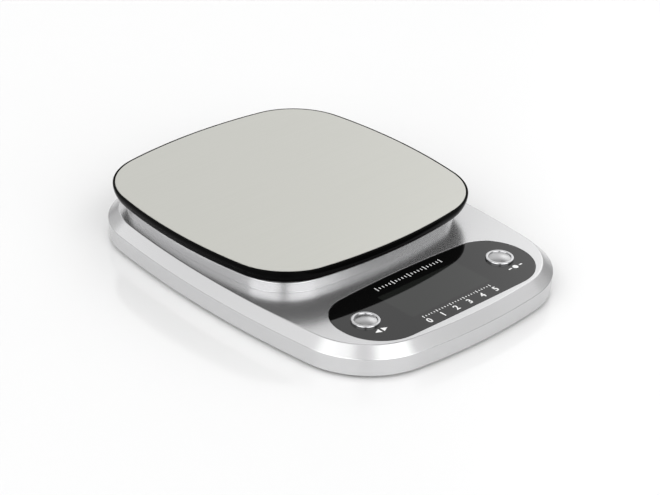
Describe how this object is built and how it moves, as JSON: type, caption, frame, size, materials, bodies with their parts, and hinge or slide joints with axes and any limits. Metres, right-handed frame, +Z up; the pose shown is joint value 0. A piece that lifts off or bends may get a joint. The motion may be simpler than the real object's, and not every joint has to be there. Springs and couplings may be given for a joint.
{
  "type": "digital precision scale",
  "caption": "Flat digital weighing scale: a steel-topped platform in a black tray over a silver base, with a black display panel and two chrome push buttons in front.",
  "frame": {"origin": "on the resting plane under the middle of the base", "axes": "+Z up, +Y to the back, with the display panel in front at -Y; X across"},
  "size_m": [0.173, 0.232, 0.0332],
  "materials": {
    "silver_shell": "glossy silver paint on moulded plastic",
    "base_plastic": "fine-grained moulded plastic",
    "tray_black": "polished black plastic",
    "plate_steel": "brushed stainless steel",
    "tape_foam": "double-sided foam tape",
    "foot_rubber": "matte rubber",
    "screw_steel": "zinc-plated steel",
    "beam_aluminium": "milled aluminium",
    "gauge_coat": "white silicone over the gauges",
    "cable_grey": "grey cable sheath",
    "lead_red": "insulated wire",
    "lens_smoke": "polished smoked acrylic",
    "chrome_trim": "bright chrome plating on plastic",
    "switch_black": "moulded plastic",
    "lcd_glass": "display glass with polarizer",
    "holder_white": "white moulded plastic",
    "board_green": "solder-masked board",
    "component_mix": "small parts of the board",
    "battery_wrap": "printed film round a cell",
    "contact_nickel": "nickel-plated spring steel"
  },
  "bodies": {
    "base": {"upper_housing": "silver_shell", "lower_housing": "base_plastic", "housing_screws": "screw_steel", "foot_front_left": "foot_rubber", "foot_front_right": "foot_rubber", "foot_back_left": "foot_rubber", "foot_back_right": "foot_rubber", "load_cell": "beam_aluminium", "strain_gauges": "gauge_coat", "lower_spacer": "screw_steel", "load_cell_screws": "screw_steel", "load_cell_cable": "cable_grey", "display_lens": "lens_smoke", "unit_bezel": "chrome_trim", "power_bezel": "chrome_trim", "unit_switch_body": "switch_black", "power_switch_body": "switch_black", "lcd_front_glass": "lcd_glass", "lcd_rear_glass": "lcd_glass", "lcd_holder": "holder_white", "zebra_strip": "foot_rubber", "main_pcb": "board_green", "controller_blob": "switch_black", "pcb_components": "component_mix", "pcb_screws": "screw_steel", "battery_1": "battery_wrap", "battery_2": "battery_wrap", "contact_negative": "contact_nickel", "contact_positive": "contact_nickel", "contact_bridge": "contact_nickel", "battery_leads": "lead_red"},
    "platform": {"platform_plate": "plate_steel", "platform_tape": "tape_foam", "platform_tray": "tray_black", "platform_screws": "screw_steel", "upper_spacer": "screw_steel"},
    "unit_button": {"unit_button": "chrome_trim", "unit_switch_plunger": "switch_black"},
    "power_button": {"power_button": "chrome_trim", "power_switch_plunger": "switch_black"},
    "battery_door": {"battery_door": "base_plastic"}
  },
  "joints": [
    {"name": "platform_press", "type": "slide", "parent": "base", "child": "platform", "axis": [0, 0, 1], "range_m": [-0.0005, 0], "stiffness_N_per_m": 245000, "deforming": ["load_cell", "strain_gauges"]},
    {"name": "unit_button_press", "type": "slide", "parent": "base", "child": "unit_button", "axis": [0, 0, 1], "range_m": [-0.0003, 0], "stiffness_N_per_m": 5000},
    {"name": "power_button_press", "type": "slide", "parent": "base", "child": "power_button", "axis": [0, 0, 1], "range_m": [-0.0003, 0], "stiffness_N_per_m": 5000},
    {"name": "battery_door_hinge", "type": "hinge", "parent": "base", "child": "battery_door", "pos_m": [0, 0.0637, 0.0032], "axis": [-1, 0, 0], "range_deg": [0, 80]}
  ]
}
